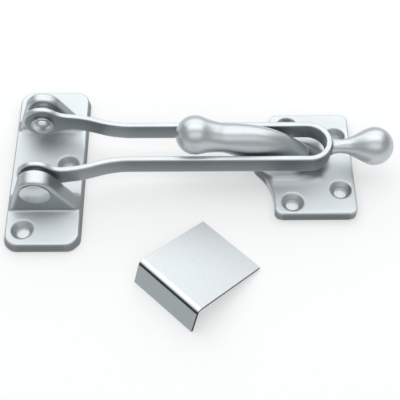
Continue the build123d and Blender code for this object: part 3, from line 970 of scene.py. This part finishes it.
class DOORGUARD_OT_keeper(bpy.types.Operator):
    """Skin the keeper as one casting, with the horn's root run out over the plate"""

    bl_idname = "doorguard.keeper"
    bl_label = "Keeper"

    def execute(self, context):
        settings = context.scene.door_guard_casting
        skin = Skin(copy_of("keeper"), settings.grain)
        skin.smooth(1, settings.edge_rounds)
        along, across, height = skin.points.T
        raised = (height > settings.seat)[:, None]
        skin.smooth(skin.hollows(settings.hollow_reach) * raised, settings.hollow_rounds)
        polish = ramp(height, settings.plate + settings.polish_from, settings.plate + settings.polish_full)
        skin.smooth(polish[:, None], settings.polish_rounds)
        # Shade is painted on the strip of the plate under the bar and on the back of the horn's root, and that
        # strip is also left out of the linished tops' painted light; the plate's rims take painted shade too
        low = height < settings.linish_light_height
        root = ramp(along, *STRIP_ROOT) * (height < ROOT_HEIGHT)
        strip = np.maximum(low, root) * (height > settings.seat)
        strip *= ramp(across, *STRIP_NEAR) * ramp(across, *STRIP_FAR) * ramp(along, *STRIP_END)
        tops, sides = skin.faces()
        rim = sides * skin.rim(settings.plate - settings.grain, settings.rim_band)
        mesh = skin.finish(tops * low * (1 - strip), np.maximum(rim, strip) * settings.rim_and_strip_painted_shade)
        piece("keeper_casting", mesh, satin_chrome(), "keeper", "chromed_casting", "keeper")
        return {"FINISHED"}


class DOORGUARD_OT_sheet(bpy.types.Operator):
    """Finish the edge protector as one bent sheet with softened cut edges"""

    bl_idname = "doorguard.sheet"
    bl_label = "Edge protector"

    def execute(self, context):
        sizes = context.scene.door_guard_sheet
        shape = bmesh.new()
        shape.from_mesh(copy_of("edge_protector"))
        bmesh.ops.dissolve_limit(shape, angle_limit=FLAT_TURN, verts=shape.verts[:], edges=shape.edges[:])
        cut = [edge for edge in shape.edges if edge.calc_face_angle() > CUT_TURN]
        bmesh.ops.bevel(shape, geom=cut, offset=sizes.edge, segments=CUT_STEPS, profile=0.5, affect="EDGES")
        mesh = mesh_from(shape, "sheet")
        normals = np.array([face.normal for face in mesh.polygons])
        x, y = math.cos(sizes.roll_angle), math.sin(sizes.roll_angle)
        along = normals @ (x, y, 0)
        outer = normals[:, 2] > OUTER_UP
        painted_shade_line = outer & (along > FLANGE_ALONG) & (along < BEND_FROM)
        # The flange and the inner side take painted shade, and so do the cut ends and a line under the bend
        marks = {
            "flange": np.where(outer, ramp(along, BEND_FULL, BEND_FROM), 1),
            "bend": outer * (along < TOP_ALONG) * ramp(along, BEND_FROM, BEND_FULL),
            "cut": painted_shade_line | (np.abs(normals @ (-y, x, 0)) > CUT_END),
        }
        for name, values in marks.items():
            attribute = mesh.attributes.new(name, "FLOAT", "FACE")
            attribute.data.foreach_set("value", values.astype(np.float32))
        piece("edge_protector_sheet", mesh, rolled_chrome(), "bracket", "chromed_sheet", "edge_protector")
        mesh.set_sharp_from_angle(angle=SHEET_SHARP)
        return {"FINISHED"}


def white_paper(settings):
    """Matt white paper, which runs out into plain white away from the object."""
    # The eye sees an even white sheet that takes soft shadows near the object and has no horizon.
    material, tree, place = new_material("matt_white_paper")
    paper = tree.nodes["Principled BSDF"]
    paper.inputs["Base Color"].default_value = (*settings.floor, 1)
    paper.inputs["Roughness"].default_value = settings.floor_rough
    paper.inputs["Specular IOR Level"].default_value = settings.floor_shine
    away = add_node(tree, "ShaderNodeVectorMath", {0: place}, operation="LENGTH")
    plain = add_node(
        tree,
        "ShaderNodeMapRange",
        {
            "Value": away.outputs["Value"],
            "From Min": settings.near,
            "From Max": settings.far,
            "To Min": settings.lift,
            "To Max": 1,
        },
        interpolation_type="SMOOTHSTEP",
    )
    # The plain white is seen by the camera and in metal, and lights nothing
    ray = add_node(tree, "ShaderNodeLightPath").outputs
    seen = ray["Is Camera Ray"]
    for kind in ("Is Glossy Ray", "Is Transmission Ray"):
        either = add_node(tree, "ShaderNodeMath", {0: seen, 1: ray[kind]}, operation="ADD", use_clamp=True)
        seen = either.outputs[0]
    white = add_node(tree, "ShaderNodeMath", {0: seen, 1: plain.outputs["Result"]}, operation="MULTIPLY")
    glow = add_node(tree, "ShaderNodeEmission", {"Strength": 1})
    mixed = add_node(
        tree, "ShaderNodeMixShader", {0: white.outputs[0], 1: paper.outputs["BSDF"], 2: glow.outputs[0]}
    )
    tree.links.new(mixed.outputs[0], tree.nodes["Material Output"].inputs["Surface"])
    return material


def softbox(name, elevation, size, level):
    """A soft lamp a metre off, over the line from behind to the camera, with a face this bright."""
    lamp = bpy.data.lights.new(name, "AREA")
    lamp.shape = "RECTANGLE"
    lamp.size, lamp.size_y = size
    lamp.energy = level * math.pi * size[0] * size[1]
    obj = host(name, lamp)
    high = math.radians(elevation)
    outwards = Vector((0, math.cos(high), math.sin(high)))
    obj.location = AIM + outwards
    obj.rotation_euler = outwards.to_track_quat("Z", "Y").to_euler()


class DOORGUARD_OT_stage(bpy.types.Operator):
    """Set the floor, the studio light and the camera"""

    bl_idname = "doorguard.stage"
    bl_label = "Stage"

    def execute(self, context):
        settings = context.scene.door_guard_stage
        scene = context.scene
        shape = bmesh.new()
        bmesh.ops.create_grid(shape, x_segments=1, y_segments=1, size=settings.floor_half)
        floor = host("floor", mesh_from(shape, "floor"))
        floor.data.materials.append(white_paper(settings))

        world = bpy.data.worlds.new("studio")
        world.use_nodes = True
        room = world.node_tree.nodes["Background"]
        room.inputs["Color"].default_value = (*settings.sky, 1)
        room.inputs["Strength"].default_value = settings.sky_level
        scene.world = world
        for lamp in LAMPS:
            softbox(*lamp)

        across = Vector((math.cos(settings.azimuth), math.sin(settings.azimuth), 0))
        level = Vector((across.y, -across.x, 0))
        back = level * math.cos(settings.elevation) + Vector((0, 0, math.sin(settings.elevation)))
        turned = Matrix((across, back.cross(across), back)).transposed()
        turned = turned @ Matrix.Rotation(settings.roll, 3, "Z")
        lens = bpy.data.cameras.new("camera")
        lens.lens = settings.lens
        lens.clip_start, lens.clip_end = CLIP
        camera = host("camera", lens)
        camera.matrix_world = Matrix.Translation(AIM + back * settings.distance) @ turned.to_4x4()
        scene.camera = camera
        scene.view_settings.view_transform = "Standard"
        return {"FINISHED"}


GROUPS = {
    "door_guard_casting": CastingSettings,
    "door_guard_pivots": PivotSizes,
    "door_guard_bar": BarSizes,
    "door_guard_sheet": SheetSizes,
    "door_guard_finish": FinishSettings,
    "door_guard_stage": StageSettings,
}
OPERATORS = (
    DOORGUARD_OT_bracket,
    DOORGUARD_OT_pivots,
    DOORGUARD_OT_bar,
    DOORGUARD_OT_keeper,
    DOORGUARD_OT_sheet,
    DOORGUARD_OT_stage,
)


class DOORGUARD_PT_panel(bpy.types.Panel):
    """Sizes, colours and pieces of the door guard"""

    bl_idname = "DOORGUARD_PT_panel"
    bl_label = "Door guard"
    bl_space_type = "VIEW_3D"
    bl_region_type = "UI"
    bl_category = "Door guard"

    def draw(self, context):
        for name, group in GROUPS.items():
            box = self.layout.box()
            for field in group.__annotations__:
                box.prop(getattr(context.scene, name), field)
        for operator in OPERATORS:
            self.layout.operator(operator.bl_idname)


def register():
    for cls in (*GROUPS.values(), *OPERATORS, DOORGUARD_PT_panel):
        bpy.utils.register_class(cls)
    for name, group in GROUPS.items():
        setattr(bpy.types.Scene, name, PointerProperty(type=group))


def unregister():
    for name in GROUPS:
        delattr(bpy.types.Scene, name)
    for cls in (DOORGUARD_PT_panel, *reversed(OPERATORS), *reversed(GROUPS.values())):
        bpy.utils.unregister_class(cls)


def main():
    register()
    bpy.ops.doorguard.bracket()
    bpy.ops.doorguard.pivots()
    bpy.ops.doorguard.bar()
    bpy.ops.doorguard.keeper()
    bpy.ops.doorguard.sheet()
    bpy.ops.doorguard.stage()


if __name__ == "__main__":
    main()
